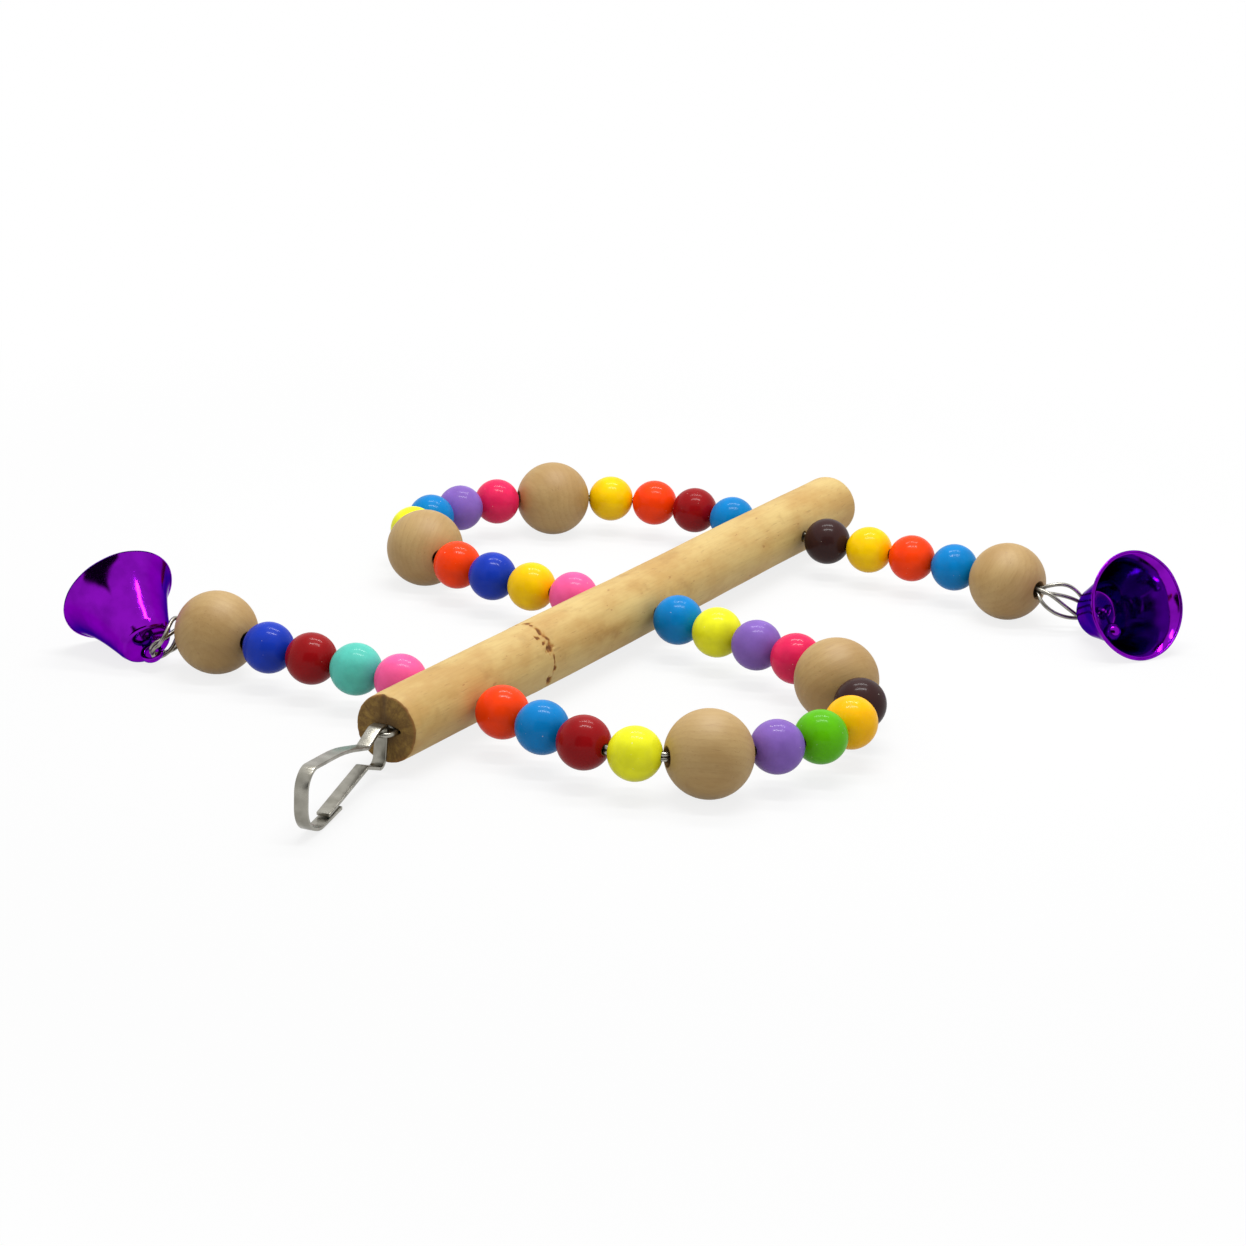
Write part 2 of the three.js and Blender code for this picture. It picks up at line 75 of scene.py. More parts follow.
azimuth, pitch, roll = (math.radians(angle) for angle in (29.55, 18.94, 2.72))
level_right = np.array([math.cos(azimuth), math.sin(azimuth), 0.0])
ahead = np.array([
    -math.sin(azimuth) * math.cos(pitch),
    math.cos(azimuth) * math.cos(pitch),
    -math.sin(pitch),
])
level_up = np.cross(level_right, ahead)
right = math.cos(roll) * level_right + math.sin(roll) * level_up
above = math.cos(roll) * level_up - math.sin(roll) * level_right
stand = (0.3283, -0.5771, 0.2384)
camera = new_object("camera", bpy.data.cameras.new("camera"))
camera.matrix_world = Matrix([
    *([right[i], above[i], -ahead[i], stand[i]] for i in range(3)),
    [0, 0, 0, 1],
])
camera.data.sensor_width = 36
camera.data.lens = 85.28
camera.data.shift_x, camera.data.shift_y = 0.00923, 0.00136
camera.data.clip_start = 0.01
bpy.context.scene.camera = camera
bpy.context.scene.view_settings.view_transform = "Standard"


# Floor and light: a white table in a white tent, under two long overhead lamps. Camera and metal
# see floor and tent as plain white. The floor keeps a soft shadow of the toy, and throws back
# less light than it shows.
class Shade:
    """One socket of a node tree. Operators on it add Math nodes, and node() adds any other."""

    def __init__(self, tree, socket=None):
        self.tree, self.socket = tree, socket

    def node(self, kind, settings, sockets, out=0):
        """Adds a node of this type: its settings, then the values or links of its sockets."""
        made = self.tree.nodes.new("ShaderNode" + kind)
        for name, value in settings.items():
            setattr(made, name, value)
        for name, value in sockets.items():
            if isinstance(value, Shade):
                self.tree.links.new(value.socket, made.inputs[name])
            else:
                made.inputs[name].default_value = value
        return Shade(self.tree, made.outputs[out] if made.outputs else None)

    def math(self, operation, *values):
        """Adds a Math node of this operation, with this value as its first."""
        return self.node("Math", {"operation": operation}, dict(enumerate((self, *values))))

    def __add__(self, other):
        return self.math("ADD", other)

    __radd__ = __add__

    def __sub__(self, other):
        return self.math("SUBTRACT", other)

    def __rsub__(self, other):
        return self.node("Math", {"operation": "SUBTRACT"}, {0: other, 1: self})

    def __mul__(self, other):
        return self.math("MULTIPLY", other)

    __rmul__ = __mul__

    def __truediv__(self, other):
        return self.math("DIVIDE", other)

    def __pow__(self, other):
        return self.math("POWER", other)

    def place(self):
        """Where the shaded point is, in metres, with the toy at rest."""
        return self.node("TexCoord", {}, {}, out="Object")

    def mark(self, name, out="Fac"):
        """A value that the mesh holds for each of its points."""
        return self.node("Attribute", {"attribute_name": name}, {}, out)

    def between(self, low, high):
        """0 below low, 1 above high, and a smooth rise from one to the other."""
        return self.node("MapRange", {"interpolation_type": "SMOOTHSTEP"},
                         {"Value": self, "From Min": low, "From Max": high})

    def mix(self, first, second):
        """The first colour where this is 0 and the second where it is 1."""
        return self.node("Mix", {"data_type": "RGBA"}, {0: self, 6: first, 7: second}, out=2)

    def noise(self, size, stretch=(1, 1, 1), detail=3.0, roughness=0.5):
        """Noise in grains about size metres across, drawn out by stretch along each axis."""
        drawn = self.node("VectorMath", {"operation": "DIVIDE"}, {0: self, 1: stretch})
        return self.node("TexNoise", {}, {
            "Vector": drawn, "Scale": 1 / size, "Detail": detail, "Roughness": roughness})

    def bump(self, height):
        """Normal of a surface with this relief, height metres deep for a value of 1."""
        return self.node("Bump", {}, {"Strength": 1.0, "Distance": height, "Height": self})

    def surface(self, **sockets):
        """Ends a material in one Principled surface; underscores stand for spaces."""
        named = {name.replace("_", " "): value for name, value in sockets.items()}
        skin = self.node("BsdfPrincipled", {}, named)
        self.node("OutputMaterial", {}, {"Surface": skin})


def tone(code):
    """Linear colour of an sRGB colour written as six hexadecimal digits."""
    share = np.array([int(code[i:i + 2], 16) / 255 for i in (0, 2, 4)])
    linear = np.where(share > 0.04045, ((share + 0.055) / 1.055) ** 2.4, share / 12.92)
    return (*linear.tolist(), 1.0)


def new_material(name):
    """A material with an empty tree, and the Shade that its nodes start from."""
    made = bpy.data.materials.new(name)
    made.use_nodes = True
    made.node_tree.nodes.clear()
    return made, Shade(made.node_tree)


def seen_plainly(start):
    """1 for the rays of the camera, of metal and of glass, and 0 for those that light things."""
    eye, metal, glass = (start.node("LightPath", {}, {}, out=f"Is {kind} Ray")
                         for kind in ("Camera", "Glossy", "Transmission"))
    return eye.math("MAXIMUM", metal.math("MAXIMUM", glass))


white = (1.0, 1.0, 1.0, 1.0)
tent_light = 0.6
tent = bpy.data.worlds.new("tent")
tent.use_nodes = True
tent.node_tree.nodes.clear()
start = Shade(tent.node_tree)
lining = start.node("Background", {}, {"Color": white, "Strength": tent_light})
plain = start.node("Background", {}, {"Color": white, "Strength": 1.0})
cloth = start.node("MixShader", {}, {0: seen_plainly(start), 1: lining, 2: plain})
start.node("OutputWorld", {}, {"Surface": cloth})
bpy.context.scene.world = tent

floor_half, floor_drop = 3, 0.0001
light_thrown, light_shown = 0.5, 0.7
shadow_depth, shadow_near, shadow_far = 0.18, 0.14, 0.35  # the shadow fades out between the two
floor_mesh = bpy.data.meshes.new("floor")
floor_mesh.from_pydata([
    (x * floor_half, y * floor_half, -floor_drop)
    for x, y in ((-1, -1), (1, -1), (1, 1), (-1, 1))], [], [(0, 1, 2, 3)])
floor = new_object("floor", floor_mesh)
table, start = new_material("white_table")
middle = start.place()
away = middle.node("VectorMath", {"operation": "LENGTH"}, {0: middle}, out="Value")
in_sight = seen_plainly(start)
thrown, shown = (start.node("BsdfDiffuse", {}, {"Color": (tint, tint, tint, 1.0)})
                 for tint in (light_thrown, light_shown))
paper = start.node("MixShader", {}, {0: in_sight, 1: thrown, 2: shown})
glow = start.node("Emission", {}, {"Color": white, "Strength": 1.0})
share = in_sight * (
    shadow_depth * away.between(shadow_near, shadow_far) + (1 - shadow_depth))
start.node("OutputMaterial", {}, {
    "Surface": start.node("MixShader", {}, {0: share, 1: paper, 2: glow})})
floor_mesh.materials.append(table)
floor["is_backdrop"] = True

lamp_length, lamp_width, lamp_away, lamp_aside = 0.42, 0.05, 0.6, 0.05
to_camera = np.array([math.sin(azimuth), -math.cos(azimuth), 0.0])
vertical = np.array([0.0, 0.0, 1.0])
for name, lean, power in (("lamp_over", 86, 2.1), ("lamp_behind", 113, 1.45)):
    lamp = new_object(name, bpy.data.lights.new(name, "AREA"))
    lamp.data.shape = "RECTANGLE"
    lamp.data.size, lamp.data.size_y = lamp_length, lamp_width
    lamp.data.energy = power
    lean = math.radians(lean)
    away = to_camera * math.cos(lean) + vertical * math.sin(lean)
    short_side = np.cross(away, level_right)
    spot = lamp_away * away + lamp_aside * level_right
    lamp.matrix_world = Matrix([
        *([level_right[i], short_side[i], away[i], spot[i]] for i in range(3)),
        [0, 0, 0, 1],
    ])

# Open front of the tent: a dark cloth that only shiny things see, level with the camera, which
# thins out to nothing towards its borders
card_away, card_half, card_low, card_high = 0.9, 0.75, 0.03, 0.95
full_half, full_low, full_high = 0.55, 0.12, 0.78
card_mesh = bpy.data.meshes.new("open_front")
card_mesh.from_pydata([
    (to_camera * card_away + level_right * x + vertical * z).tolist()
    for x, z in ((-card_half, card_low), (card_half, card_low),
                 (card_half, card_high), (-card_half, card_high))], [], [(0, 1, 2, 3)])
card = new_object("open_front", card_mesh)
dark, start = new_material("dark_cloth")
middle = start.place()
sideways = middle.node("VectorMath", {"operation": "DOT_PRODUCT"},
                       {0: middle, 1: level_right.tolist()}, out="Value").math("ABSOLUTE")
upward = start.node("SeparateXYZ", {}, {0: middle}, out=2)
thick = (1 - sideways.between(full_half, card_half)) * upward.between(card_low, full_low) * (
    1 - upward.between(full_high, card_high))
black = start.node("BsdfDiffuse", {}, {"Color": (0.02, 0.02, 0.022, 1.0)})
clear = start.node("BsdfTransparent", {}, {})
start.node("OutputMaterial", {}, {
    "Surface": start.node("MixShader", {}, {0: thick, 1: clear, 2: black})})
card_mesh.materials.append(dark)
card.visible_camera = card.visible_diffuse = card.visible_shadow = False
card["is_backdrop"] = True


# Perch: a turned rod of pale, close-grained wood 16 mm thick. It is sawn off square and left
# brown at the hook's end, rounded at the other, and drilled across three times for the wire. A
# ring of torn bark scars runs round it a quarter of the way along.
mm = 0.001


def ripples(points, length, seed, waves=24):
    """Smooth random height in -1 to 1 at each point: the mean of sine waves in random
    directions, each about length long, with phases drawn once from the seed."""
    draw = np.random.default_rng(seed)
    way = draw.normal(size=(waves, 3))
    way /= np.linalg.norm(way, axis=1, keepdims=True) * length * draw.uniform(0.7, 1.5, (waves, 1))
    phase = draw.uniform(0, 2 * np.pi, waves)
    return np.sin(points @ way.T * 2 * np.pi + phase).sum(-1) / np.sqrt(waves) * 0.8


def stack(sections):
    """Rows of a profile: the stretches one after another, as one array."""
    return np.concatenate([np.atleast_2d(section) for section in sections])


def arc(centre, radius, first, last, steps):
    """Points (radius, station) on a circle of the profile's plane, between angles in degrees."""
    angle = np.radians(np.linspace(first, last, steps + 1))
    return np.stack([centre[0] + radius * np.cos(angle), centre[1] + radius * np.sin(angle)], -1)


def turned(profile, origin, axis, side, columns):
    """Surface of revolution: a profile of (radius, station) carried round an axis, where side is
    the direction of its first column."""
    angle = np.linspace(0, 2 * np.pi, columns, endpoint=False)
    other = np.cross(axis, side)
    spoke = np.cos(angle)[:, None] * side + np.sin(angle)[:, None] * other
    radius, station = profile[:, 0, None, None], profile[:, 1, None, None]
    return origin + radius * spoke + station * np.asarray(axis)


def quads(grid, ring):
    """Corner numbers of the quads of a grid of points. Every row closes on itself, and with ring
    the last row joins the first."""
    rows, columns = grid.shape[:2]
    i, j = np.meshgrid(np.arange(rows if ring else rows - 1), np.arange(columns), indexing="ij")
    below, beside = (i + 1) % rows * columns, (j + 1) % columns
    return np.stack([i * columns + j, i * columns + beside, below + beside, below + j],
                    -1).reshape(-1, 4)


def make_mesh(name, grids, marks=(), sharp=35):
    """Mesh of closed grids in millimetres, given as (grid, ring), with poles and seams merged
    and its outside facing out. marks are (attribute, a number or vector for each point)."""
    sizes = [grid.shape[0] * grid.shape[1] for grid, ring in grids]
    first = np.cumsum([0] + sizes)
    points = np.concatenate([grid.reshape(-1, 3) for grid, ring in grids]) * mm
    faces = np.concatenate([quads(grid, ring) + start
                            for (grid, ring), start in zip(grids, first)])
    mesh = bpy.data.meshes.new(name)
    mesh.from_pydata(points.tolist(), [], faces.tolist())
    for label, values in marks:
        vector = np.ndim(values) > 1
        layer = mesh.attributes.new(label, "FLOAT_VECTOR" if vector else "FLOAT", "POINT")
        layer.data.foreach_set("vector" if vector else "value",
                               np.asarray(values, np.float32).ravel())
    work = bmesh.new()
    work.from_mesh(mesh)
    bmesh.ops.remove_doubles(work, verts=work.verts, dist=1e-7)
    bmesh.ops.recalc_face_normals(work, faces=work.faces)
    work.to_mesh(mesh)
    work.free()
    smooth(mesh, sharp)
    return mesh


def smooth(mesh, sharp):
    """Smooth shading, with the edges sharper than this many degrees left crisp."""
    mesh.polygons.foreach_set("use_smooth", np.ones(len(mesh.polygons), bool))
    mesh.set_sharp_from_angle(angle=math.radians(sharp))


def place_piece(name, mesh, finish, slot, body, *nodes):
    """Puts a mesh in the scene as the piece that stands for these nodes on this body."""
    piece = new_object(name, mesh)
    mesh.materials.clear()
    mesh.materials.append(finish)
    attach(piece, body)
    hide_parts(*nodes)
    return piece


joints = {joint["name"]: joint for joint in frame["joints"]}


def joint_place(name):
    """Place of a joint in millimetres, and the direction of its axis."""
    joint = joints[name]
    axis = np.array(joint["axis"], float)
    return np.array(joint["pos_m"], float) / mm, axis / np.linalg.norm(axis)


rod_low, rod_high = (np.array(corner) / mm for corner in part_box("dowel_perch"))
rod_radius = 8.0
rod_axis = (rod_low + rod_high) / 2
sawn_at, rod_length = rod_low[1], rod_high[1] - rod_low[1]
end_round = 4.5
pocket_wide, pocket_high, pocket_deep = 3.66, 0.9, 2.8  # the mouth that the eye has crushed
pilot_radius, pilot_point, pilot_end = 1.4, 12.9, 16.2  # the screw's hole
mouth_wide, mouth_high, face_edge = 3.91, 1.15, 7.55  # the sawn face, from the mouth to its rim
rim_rows = (7.8, 7.8, 0.12), (7.95, 7.95, 0.35)
rod_columns, rod_sharp = 144, 50
scars_at, scars_from, scars_to = 56.2, 51, 61.5

# Rows of the rod as (half width, half height, station), from the bottom of the screw's hole, out
# through the sawn face and along the side to the middle of the rounded end
station = np.concatenate([
    np.arange(0.9, scars_from, 0.6),
    np.arange(scars_from, scars_to, 0.2),
    np.arange(scars_to + 0.3, rod_length - end_round - 0.1, 0.7),
])
share = np.linspace(0, 1, 26)[1:, None]
dome = arc((rod_radius - end_round, rod_length - end_round), end_round, 0, 90, 14)
top = np.linspace(rod_radius - end_round, 0, 6)[1:, None]
rows = stack([
    (0, 0, pilot_end),
    (pilot_radius, pilot_radius, pilot_point),
    (pilot_radius, pilot_radius, 8),
    (pilot_radius, pilot_radius, pocket_deep),
    (pocket_wide - 0.2, pocket_high - 0.15, pocket_deep),
    (pocket_wide, pocket_high, pocket_deep - 0.3),
    (pocket_wide, pocket_high, 1.2),
    (pocket_wide, pocket_high, 0.3),
    (mouth_wide, mouth_high, 0),
    np.hstack([mouth_wide + share * (face_edge - mouth_wide),
               mouth_high + share * (face_edge - mouth_high), share * 0]),
    rim_rows,
    np.stack([0 * station + rod_radius, 0 * station + rod_radius, station], -1),
    dome[:, [0, 0, 1]],
    np.hstack([top, top, 0 * top + rod_length]),
])
angle = np.linspace(0, 2 * np.pi, rod_columns, endpoint=False)
grid = np.stack([
    rod_axis[0] + rows[:, :1] * np.cos(angle),
    sawn_at + rows[:, 2:] + 0 * angle,
    rod_axis[2] + rows[:, 1:2] * np.sin(angle),
], -1)
spoke = np.stack([np.cos(angle), 0 * angle, np.sin(angle)], -1)

# Scars: each is a torn chip at (angle in degrees, station), with half its length round the rod,
# half its length along it, its slant and its depth
scars = np.array([
    (96, 57.8, 1.0, 0.9, -0.2, 0.15), (84, 57.2, 0.5, 0.5, 0.0, 0.10),
    (66, 56.6, 1.4, 1.0, 0.25, 0.32), (57, 53.9, 0.6, 0.6, 0.0, 0.08),
    (48, 56.9, 0.6, 0.6, -0.2, 0.12), (33, 55.9, 1.3, 1.6, 0.20, 0.48),
    (44, 54.7, 0.5, 0.8, 0.3, 0.15), (12, 56.4, 1.3, 0.3, 0.05, 0.08),
    (-4, 56.4, 0.8, 0.8, 0.1, 0.20), (-25, 55.1, 1.6, 1.0, -0.65, 0.34),
    (-60, 54.9, 1.0, 0.8, 0.3, 0.24), (-84, 56.0, 1.6, 1.0, -0.2, 0.32),
    (-116, 56.6, 0.9, 0.7, 0.1, 0.18), (-141, 55.6, 1.5, 1.1, 0.2, 0.36),
    (-176, 56.1, 0.8, 0.6, -0.2, 0.15), (157, 56.8, 1.5, 1.0, 0.2, 0.30),
    (121, 57.4, 1.0, 0.9, 0.0, 0.24),
])
side_radius, side_start = 7.7, 3  # rows farther out and farther on than this are the rod's side
torn_edge, torn_reach = 0.35, 1.35  # how ragged a scar's edge is, and how far out it goes
lip_reach, lip_spread, lip_height = 1.3, 0.35, 0.05  # the bark pushed up round a scar
turn = (np.degrees(angle)[None, :, None] - scars[:, 0] + 180) % 360 - 180
round_way = np.radians(turn) * rod_radius
long_way = rows[:, 2, None, None] - scars[:, 1] - scars[:, 4] * round_way
torn = ripples(grid, 1.1, 5)[..., None]
reach = np.sqrt((round_way / scars[:, 2]) ** 2 + (long_way / scars[:, 3]) ** 2)
reach = reach + torn_edge * torn
chip = np.clip(torn_reach - reach, 0, 1)
on_side = ((rows[:, 0] > side_radius) & (rows[:, 2] > side_start))[:, None]
scar = chip.max(-1) * on_side
depth = (chip * scars[:, 5]).max(-1) * on_side
lip = np.exp(-((reach.min(-1) - lip_reach) / lip_spread) ** 2) * on_side * lip_height

# The rod isn't true: it swells and wanders by a tenth of a millimetre, is a little slimmer towards
# the sawn end, and its sawn face is frayed at the rim, rough from the saw and brown past its edge
swell_height, wander_height = 0.13, 0.03
slimmer, slimmer_until = 0.3, 60
fray_depth, step_depth, saw_depth = 0.03, 0.035, 0.05
brown_reach, brown_wander, brown_fade, brown_until = 0.16, 0.14, 0.3, 30
wide = (rows[:, 0] / rod_radius)[:, None]
face = (rows[:, 2] < 0.5)[:, None] * (rows[:, 0] > pocket_wide)[:, None]
swell = (swell_height * ripples(grid * (1, 0.25, 1), 22, 1)
         + wander_height * ripples(grid * (1, 0.2, 1), 4, 2))
slim = slimmer * np.clip(1 - rows[:, 2:] / slimmer_until, 0, 1) * wide * (rows[:, :1] > mouth_wide)
grid += spoke * (wide * swell * on_side + lip - depth - slim)[..., None]
frayed = ripples(grid, 0.8, 3) * np.clip(wide * 4 - 3.2, 0, 1) * face
grid += spoke * frayed[..., None] * fray_depth
grid[..., 1] += face * (step_depth * ripples(grid, 1.1, 4)
                        + saw_depth * ripples(grid * (1, 1, 0.1), 1.6, 6))
past_face = rows[:, 2, None] - brown_reach - brown_wander * ripples(grid, 3, 7)
sawn = np.clip(1 - past_face / brown_fade, 0, 1)
sawn = np.where(rows[:, :1] < side_radius, 1.0, sawn) * (rows[:, 2:] < brown_until)
perch_mesh = make_mesh("perch", [(grid, False)], [("scar", scar.ravel()), ("sawn", sawn.ravel())],
                       sharp=rod_sharp)


# Where the wire goes through the rod: the first hole has a place and a heading of its own, and the
# other two follow from the last bead of each loop and the turn of the wire after it, in degrees
hole_radius, hole_half = 1.5, 8.6  # half the length of wire in a hole
first_hole_at, first_heading = 26, math.radians(-6.7)
second_turn, third_turn = 12, 3
beads_before_holes = (5, 19, 33)
plain_reach, painted_reach = 9.85, 6.05
drill_half, drill_columns = 12, 40
string = sorted(name for name in frame["nodes"] if name.startswith("bead_"))


def reach_of(name):
    """Half the length of wire that a bead takes up, with half its gap to the next."""
    return plain_reach if "plain" in name else painted_reach


def bead_rod(name):
    """Middle, direction and half length of a bead's straight piece of wire."""
    middle, way = joint_place(name[:7] + "_spin")
    return middle, way, reach_of(name)


def corner_after(middle, way, half, next_way, next_half):
    """Meeting point of two rods of wire that touch end to end, one of them just bent."""
    both = (half * half + next_half * next_half + 2 * half * next_half * (way @ next_way)) ** 0.5
    return middle + way * half * (half + next_half) / both


def rod_in_hole(middle, way, half, turn):
    """The rod of wire in the perch that follows a bead's, at a turn in degrees."""
    heading = math.atan2(way[1], way[0]) + math.radians(turn)
    next_way = np.array([math.cos(heading), math.sin(heading), 0.0])
    corner = corner_after(middle, way, half, next_way, hole_half)
    next_middle = corner + next_way * np.linalg.norm(corner - middle) * hole_half / half
    return next_middle, next_way, hole_half


first_way = np.array([math.cos(first_heading), math.sin(first_heading), 0.0])
holes = [
    (np.array([rod_axis[0], sawn_at + first_hole_at, rod_axis[2]]), first_way, hole_half),
    rod_in_hole(*bead_rod(string[beads_before_holes[1] - 1]), second_turn),
    rod_in_hole(*bead_rod(string[beads_before_holes[2] - 1]), third_turn),
]
drill = np.array([(0, -drill_half), (hole_radius, -drill_half),
                  (hole_radius, drill_half), (0, drill_half)], float)
drills = make_mesh("drills", [
    (turned(drill, middle, way, vertical, drill_columns), False)
    for middle, way, half in holes])
blank, cutter = (new_object(mesh.name, mesh) for mesh in (perch_mesh, drills))
cut = blank.modifiers.new("drilled", "BOOLEAN")
cut.operation, cut.solver, cut.object = "DIFFERENCE", "EXACT", cutter
drilled = bpy.data.meshes.new_from_object(
    blank.evaluated_get(bpy.context.evaluated_depsgraph_get()))
for tool in (blank, cutter):
    bpy.data.objects.remove(tool)
smooth(drilled, rod_sharp)


def wood(place, pale, warm, ripe, ring_gap, ring_depth):
    """Colour and relief of wood whose grain runs along y: growth rings round the y axis, long
    fibres, short pores and slow warm patches."""
    flat = place.node("VectorMath", {"operation": "MULTIPLY"}, {0: place, 1: (1, 0, 1)})
    from_pith = flat.node("VectorMath", {"operation": "LENGTH"}, {0: flat}, out="Value")
    strayed = from_pith + place.noise(0.011, (1, 5, 1), 2.0) * 0.0045
    ring = (strayed / ring_gap).math("FRACT")
    late = ring ** 2.0 * (1 - ring.between(0.8, 1.0))
    fibre = place.noise(0.00042, (1, 28, 1), 3.0, 0.6)
    pore = place.noise(0.0005, (1, 9, 1), 1.0).between(0.68, 0.76)
    patch = place.noise(0.010, (1, 2.2, 1), 4.0, 0.6).between(0.35, 0.68)
    base = patch.mix(pale, warm)
    grained = (late * ring_depth + fibre.between(0.4, 0.8) * 0.15).mix(base, ripe)
    relief = fibre * 0.5 + late * 0.2 - pore * 0.5
    return (pore * 0.3).mix(grained, ripe), relief


# The side: wood with brown stains and flecks
perch_wood, start = new_material("perch_wood")
spot = start.place()
pith = tuple((rod_axis * (1, 0, 1) * mm).tolist())
place = start.node("VectorMath", {"operation": "SUBTRACT"}, {0: spot, 1: pith})
colour, relief = wood(place, tone("d0b471"), tone("be9753"), tone("936b31"), 0.0023, 0.15)
stain = place.noise(0.006, (1, 1.7, 1), 4.0, 0.6).between(0.56, 0.74)
colour = (stain * 0.45).mix(colour, tone("a07739"))
fleck = place.noise(0.0011, (1, 2.6, 1), 2.0).between(0.70, 0.76)
colour = (fleck * 0.5).mix(colour, tone("965f2a"))

# The sawn face: rays that fan out from the pith, a crack above it and a darker rim
across, along, up_way = (start.node("SeparateXYZ", {}, {0: place}, out=i) for i in range(3))
far_out = (across * across + up_way * up_way).math("SQRT")
bearing = across.math("ARCTAN2", up_way * -1)
fan = start.node("CombineXYZ", {}, {0: bearing, 1: far_out * 90})
ray = fan.noise(0.15, (1, 2.5, 1), 4.0, 0.65)
split = (across + 0.0008 + (ray - 0.5) * 0.0008).math("ABSOLUTE")
crack = (1 - split.between(0.0001, 0.0011)) * up_way.between(0.0008, 0.0022)
end_grain = ray.between(0.3, 0.75).mix(tone("9a7836"), tone("745522"))
end_grain = (place.noise(0.0022, detail=5.0, roughness=0.75).between(0.42, 0.62) * 0.75).mix(
    end_grain, tone("6b4c1e"))
rim = far_out + (place.noise(0.004) - 0.5) * 0.0022
end_grain = (rim.between(0.0068, 0.0078) * 0.75).mix(end_grain, tone("93602a"))
end_grain = (crack * 0.6).mix(end_grain, tone("4c3018"))
end_grain = (1 - far_out.between(0.002, 0.0045)).mix(end_grain, tone("664a22"))

# The two together, with a thin brown seam in the line of the scars, and the scars themselves
sawn_mark = start.mark("sawn")
scar_mark = start.mark("scar")
seam_line = float(sawn_at + scars_at) * mm
seam_at = along + (place.noise(0.006, detail=3.0) - 0.5) * 0.0035
seam = 1 - (seam_at - seam_line).math("ABSOLUTE").between(0.0001, 0.0006)
colour = sawn_mark.between(0.2, 0.7).mix(colour, end_grain)
colour = (seam * place.noise(0.002).between(0.4, 0.6) * 0.45).mix(colour, tone("a0682a"))
core = (scar_mark + place.noise(0.0007, detail=2.0) * 0.6).between(0.6, 1.3)
colour = scar_mark.between(0.08, 0.7).mix(colour, core.mix(tone("a8702c"), tone("6b3d0a")))
rough = 0.58 + relief * 0.1 + scar_mark.between(0.0, 0.5) * 0.25 + sawn_mark * 0.2
kerf = place.noise(0.0004, (6, 1, 1), 3.0) * 3 + ray * 2 - crack * 5
height = relief * (1 - sawn_mark) + kerf * sawn_mark + place.noise(0.0005) * scar_mark * 4
start.surface(Base_Color=colour, Roughness=rough, Normal=height.bump(0.00005))
place_piece("perch", drilled, perch_wood, "perch_wood", "perch", "dowel_perch")


# Screw eye: nickel-plated steel wire bent into a level ring, open for a millimetre at the top of
# its shank, whose thread is driven into the sawn end until half the ring is sunk in the wood.
hook_pin, hook_hinge = joint_place("snap_hook_swing")
hook_ahead = np.cross(vertical, hook_hinge)
eye_radius, eye_wire, ring_from, ring_to = 2.9, 0.6, 112, 446  # the ring's ends in degrees
shank_length, plain_length, point_length, shank_in_ring = 14.0, 2.5, 3, 0.25
core_radius, thread_height, thread_pitch = 0.82, 0.28, 1.15
shank_columns = 36
eye_middle = hook_pin - hook_ahead * eye_radius


def unit_rows(vectors):
    """The direction of each row."""
    return vectors / np.linalg.norm(vectors, axis=1, keepdims=True)


def tube(path, pole, radius, columns=16):
    """Round wire along a path of points. Each section stands square to the path, and its first
    point is turned towards pole, one direction for each point. radius may vary on the way."""
    run = unit_rows(np.gradient(path, axis=0))
    side = unit_rows(pole - (pole * run).sum(1, keepdims=True) * run)
    other = np.cross(run, side)
    angle = np.linspace(0, 2 * np.pi, columns, endpoint=False)[None, :, None]
    section = np.cos(angle) * side[:, None] + np.sin(angle) * other[:, None]
    return path[:, None] + section * np.broadcast_to(radius, len(path))[:, None, None]


def with_ends(path, radius):
    """The path and its radii, with a small rounding and a closed cap at both ends."""
    run_in, run_out = path[0] - path[1], path[-1] - path[-2]
    run_in, run_out = (run / np.linalg.norm(run) for run in (run_in, run_out))
    cap = 0.35  # how far a cap stands out, for a wire of radius 1
    out = np.array([1.0, 0.98, 0.75, 0.0])[:, None] * radius * cap
    size = np.array([0.0, 0.6, 0.9, 1.0]) * radius
    path = np.concatenate([path[0] + run_in * out, path[1:-1], path[-1] + run_out * out[::-1]])
    return path, np.concatenate([size, np.full(len(path) - 8, radius), size[::-1]])


turn = np.radians(np.linspace(ring_from, ring_to, 72))[:, None]
ring_path = eye_middle + eye_radius * (np.cos(turn) * (1, 0, 0) + np.sin(turn) * (0, 1, 0))
ring_path, ring_size = with_ends(ring_path, eye_wire)
eye_ring = tube(ring_path, np.tile(vertical, (len(ring_path), 1)), ring_size)
along_shank = np.linspace(0, shank_length, 150)
taper = np.clip((shank_length - along_shank) / point_length, 0, 1)
angle = np.linspace(0, 2 * np.pi, shank_columns, endpoint=False)
wave = (along_shank[:, None] / thread_pitch - angle / (2 * np.pi)) % 1
threaded = np.clip(along_shank[:, None] - plain_length, 0, 1)
ridge = np.clip(1 - np.abs(wave - 0.5) * 3.2, 0, 1) * threaded
across = (core_radius + thread_height * ridge) * taper[:, None] ** 0.8 * np.ones(shank_columns)
across[0] = 0
shank = np.stack([
    eye_middle[0] + across * np.cos(angle),
    eye_middle[1] + eye_radius - shank_in_ring + along_shank[:, None] + 0 * angle,
    eye_middle[2] + across * np.sin(angle),
], -1)
nickel, start = new_material("nickel_plate")
spot = start.place()
haze = spot.noise(0.0035, detail=4.0).between(0.3, 0.75)
scuff = spot.noise(0.00022, (1, 1, 9), 3.0, 0.65)
